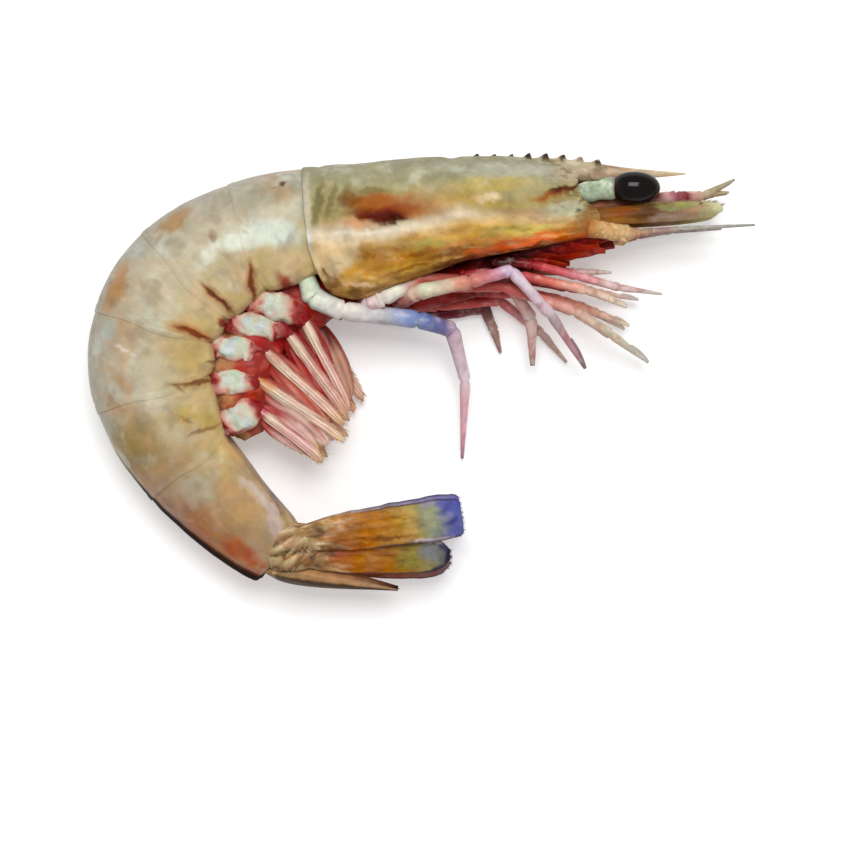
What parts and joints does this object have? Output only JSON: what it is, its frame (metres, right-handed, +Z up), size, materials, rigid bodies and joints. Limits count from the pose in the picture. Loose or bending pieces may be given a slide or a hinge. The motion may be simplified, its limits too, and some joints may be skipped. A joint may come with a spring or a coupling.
{
  "type": "raw king prawn",
  "caption": "Raw whole king prawn, head and shell on, curled in a C and lying on its left side, with legs, swimming paddles, feelers and tail fan.",
  "frame": {"origin": "centre of the footprint of the whole prawn, on the surface it lies on", "axes": "+X along the head towards its beak, +Y towards the back of the head, +Z up from the surface"},
  "size_m": [0.1066, 0.0697, 0.0165],
  "materials": {
    "tail_shell": "wet, thin, see-through shell over grey-beige flesh",
    "head_shell": "wet olive shell, brown behind the head and amber along its lower edge",
    "tail_fan": "amber blades with blue-grey ends",
    "leg_pale": "whitish, with lilac and blue joints",
    "leg_pink": "pink to beige",
    "paddle": "pink and cream blades on mint-white blocks",
    "eye": "black and very glossy",
    "eyestalk": "pale green",
    "feeler": "brown with pink and olive",
    "mouth": "dark red"
  },
  "bodies": {
    "root": {"carapace": "head_shell", "abdomen_1": "tail_shell", "abdomen_2": "tail_shell", "abdomen_3": "tail_shell", "abdomen_4": "tail_shell", "abdomen_5": "tail_shell", "abdomen_6": "tail_shell", "telson": "tail_fan", "uropod_outer_right": "tail_fan", "uropod_inner_right": "tail_fan", "uropod_outer_left": "tail_fan", "uropod_inner_left": "tail_fan", "leg_1_right": "leg_pink", "leg_2_right": "leg_pink", "leg_3_right": "leg_pale", "leg_4_right": "leg_pale", "leg_5_right": "leg_pale", "maxilliped_right": "leg_pink", "pleopod_1_right": "paddle", "pleopod_2_right": "paddle", "pleopod_3_right": "paddle", "pleopod_4_right": "paddle", "pleopod_5_right": "paddle", "eye_right": "eye", "eyestalk_right": "eyestalk", "antennal_scale_right": "feeler", "antennule_right": "feeler", "antenna_right": "feeler", "leg_1_left": "leg_pink", "leg_2_left": "leg_pink", "leg_3_left": "leg_pale", "leg_4_left": "leg_pale", "leg_5_left": "leg_pale", "maxilliped_left": "leg_pink", "pleopod_1_left": "paddle", "pleopod_2_left": "paddle", "pleopod_3_left": "paddle", "pleopod_4_left": "paddle", "pleopod_5_left": "paddle", "eye_left": "eye", "eyestalk_left": "eyestalk", "antennal_scale_left": "feeler", "antennule_left": "feeler", "antenna_left": "feeler", "mouthparts": "mouth"}
  },
  "joints": []
}
